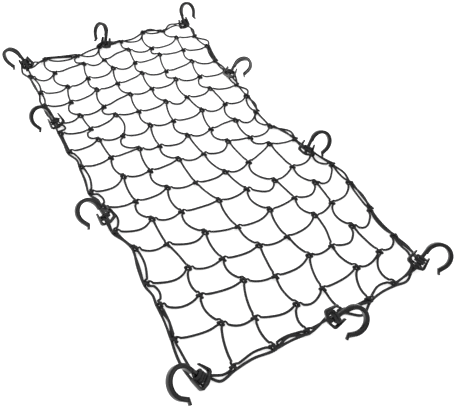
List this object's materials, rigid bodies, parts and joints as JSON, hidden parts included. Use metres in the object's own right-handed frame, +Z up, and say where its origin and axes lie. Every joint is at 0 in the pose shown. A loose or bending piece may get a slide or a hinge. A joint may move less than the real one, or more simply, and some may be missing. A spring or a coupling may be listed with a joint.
{
  "type": "elastic cargo net",
  "caption": "Rectangular elastic cargo net that ties a load down: knotted square mesh, a border cord round it and moulded hooks, lying open and flat.",
  "frame": {"origin": "on the surface that the net lies on, under the middle of its whole extent, hooks included", "axes": "+Z up off the surface, +Y along the net's long side, +X across it"},
  "size_m": [0.44, 0.8296, 0.0647],
  "materials": {
    "mesh_cord": "near-black braided jacket over rubber strands, matt with a faint sheen",
    "border_cord": "near-black braided jacket over rubber strands, matt with a faint sheen",
    "hook_plastic": "black moulded plastic with a soft gloss"
  },
  "bodies": {
    "root": {"net_mesh": "mesh_cord", "border_cord": "border_cord", "hook_01": "hook_plastic", "hook_02": "hook_plastic", "hook_03": "hook_plastic", "hook_04": "hook_plastic", "hook_05": "hook_plastic", "hook_06": "hook_plastic", "hook_07": "hook_plastic", "hook_08": "hook_plastic", "hook_09": "hook_plastic", "hook_10": "hook_plastic"}
  },
  "joints": []
}
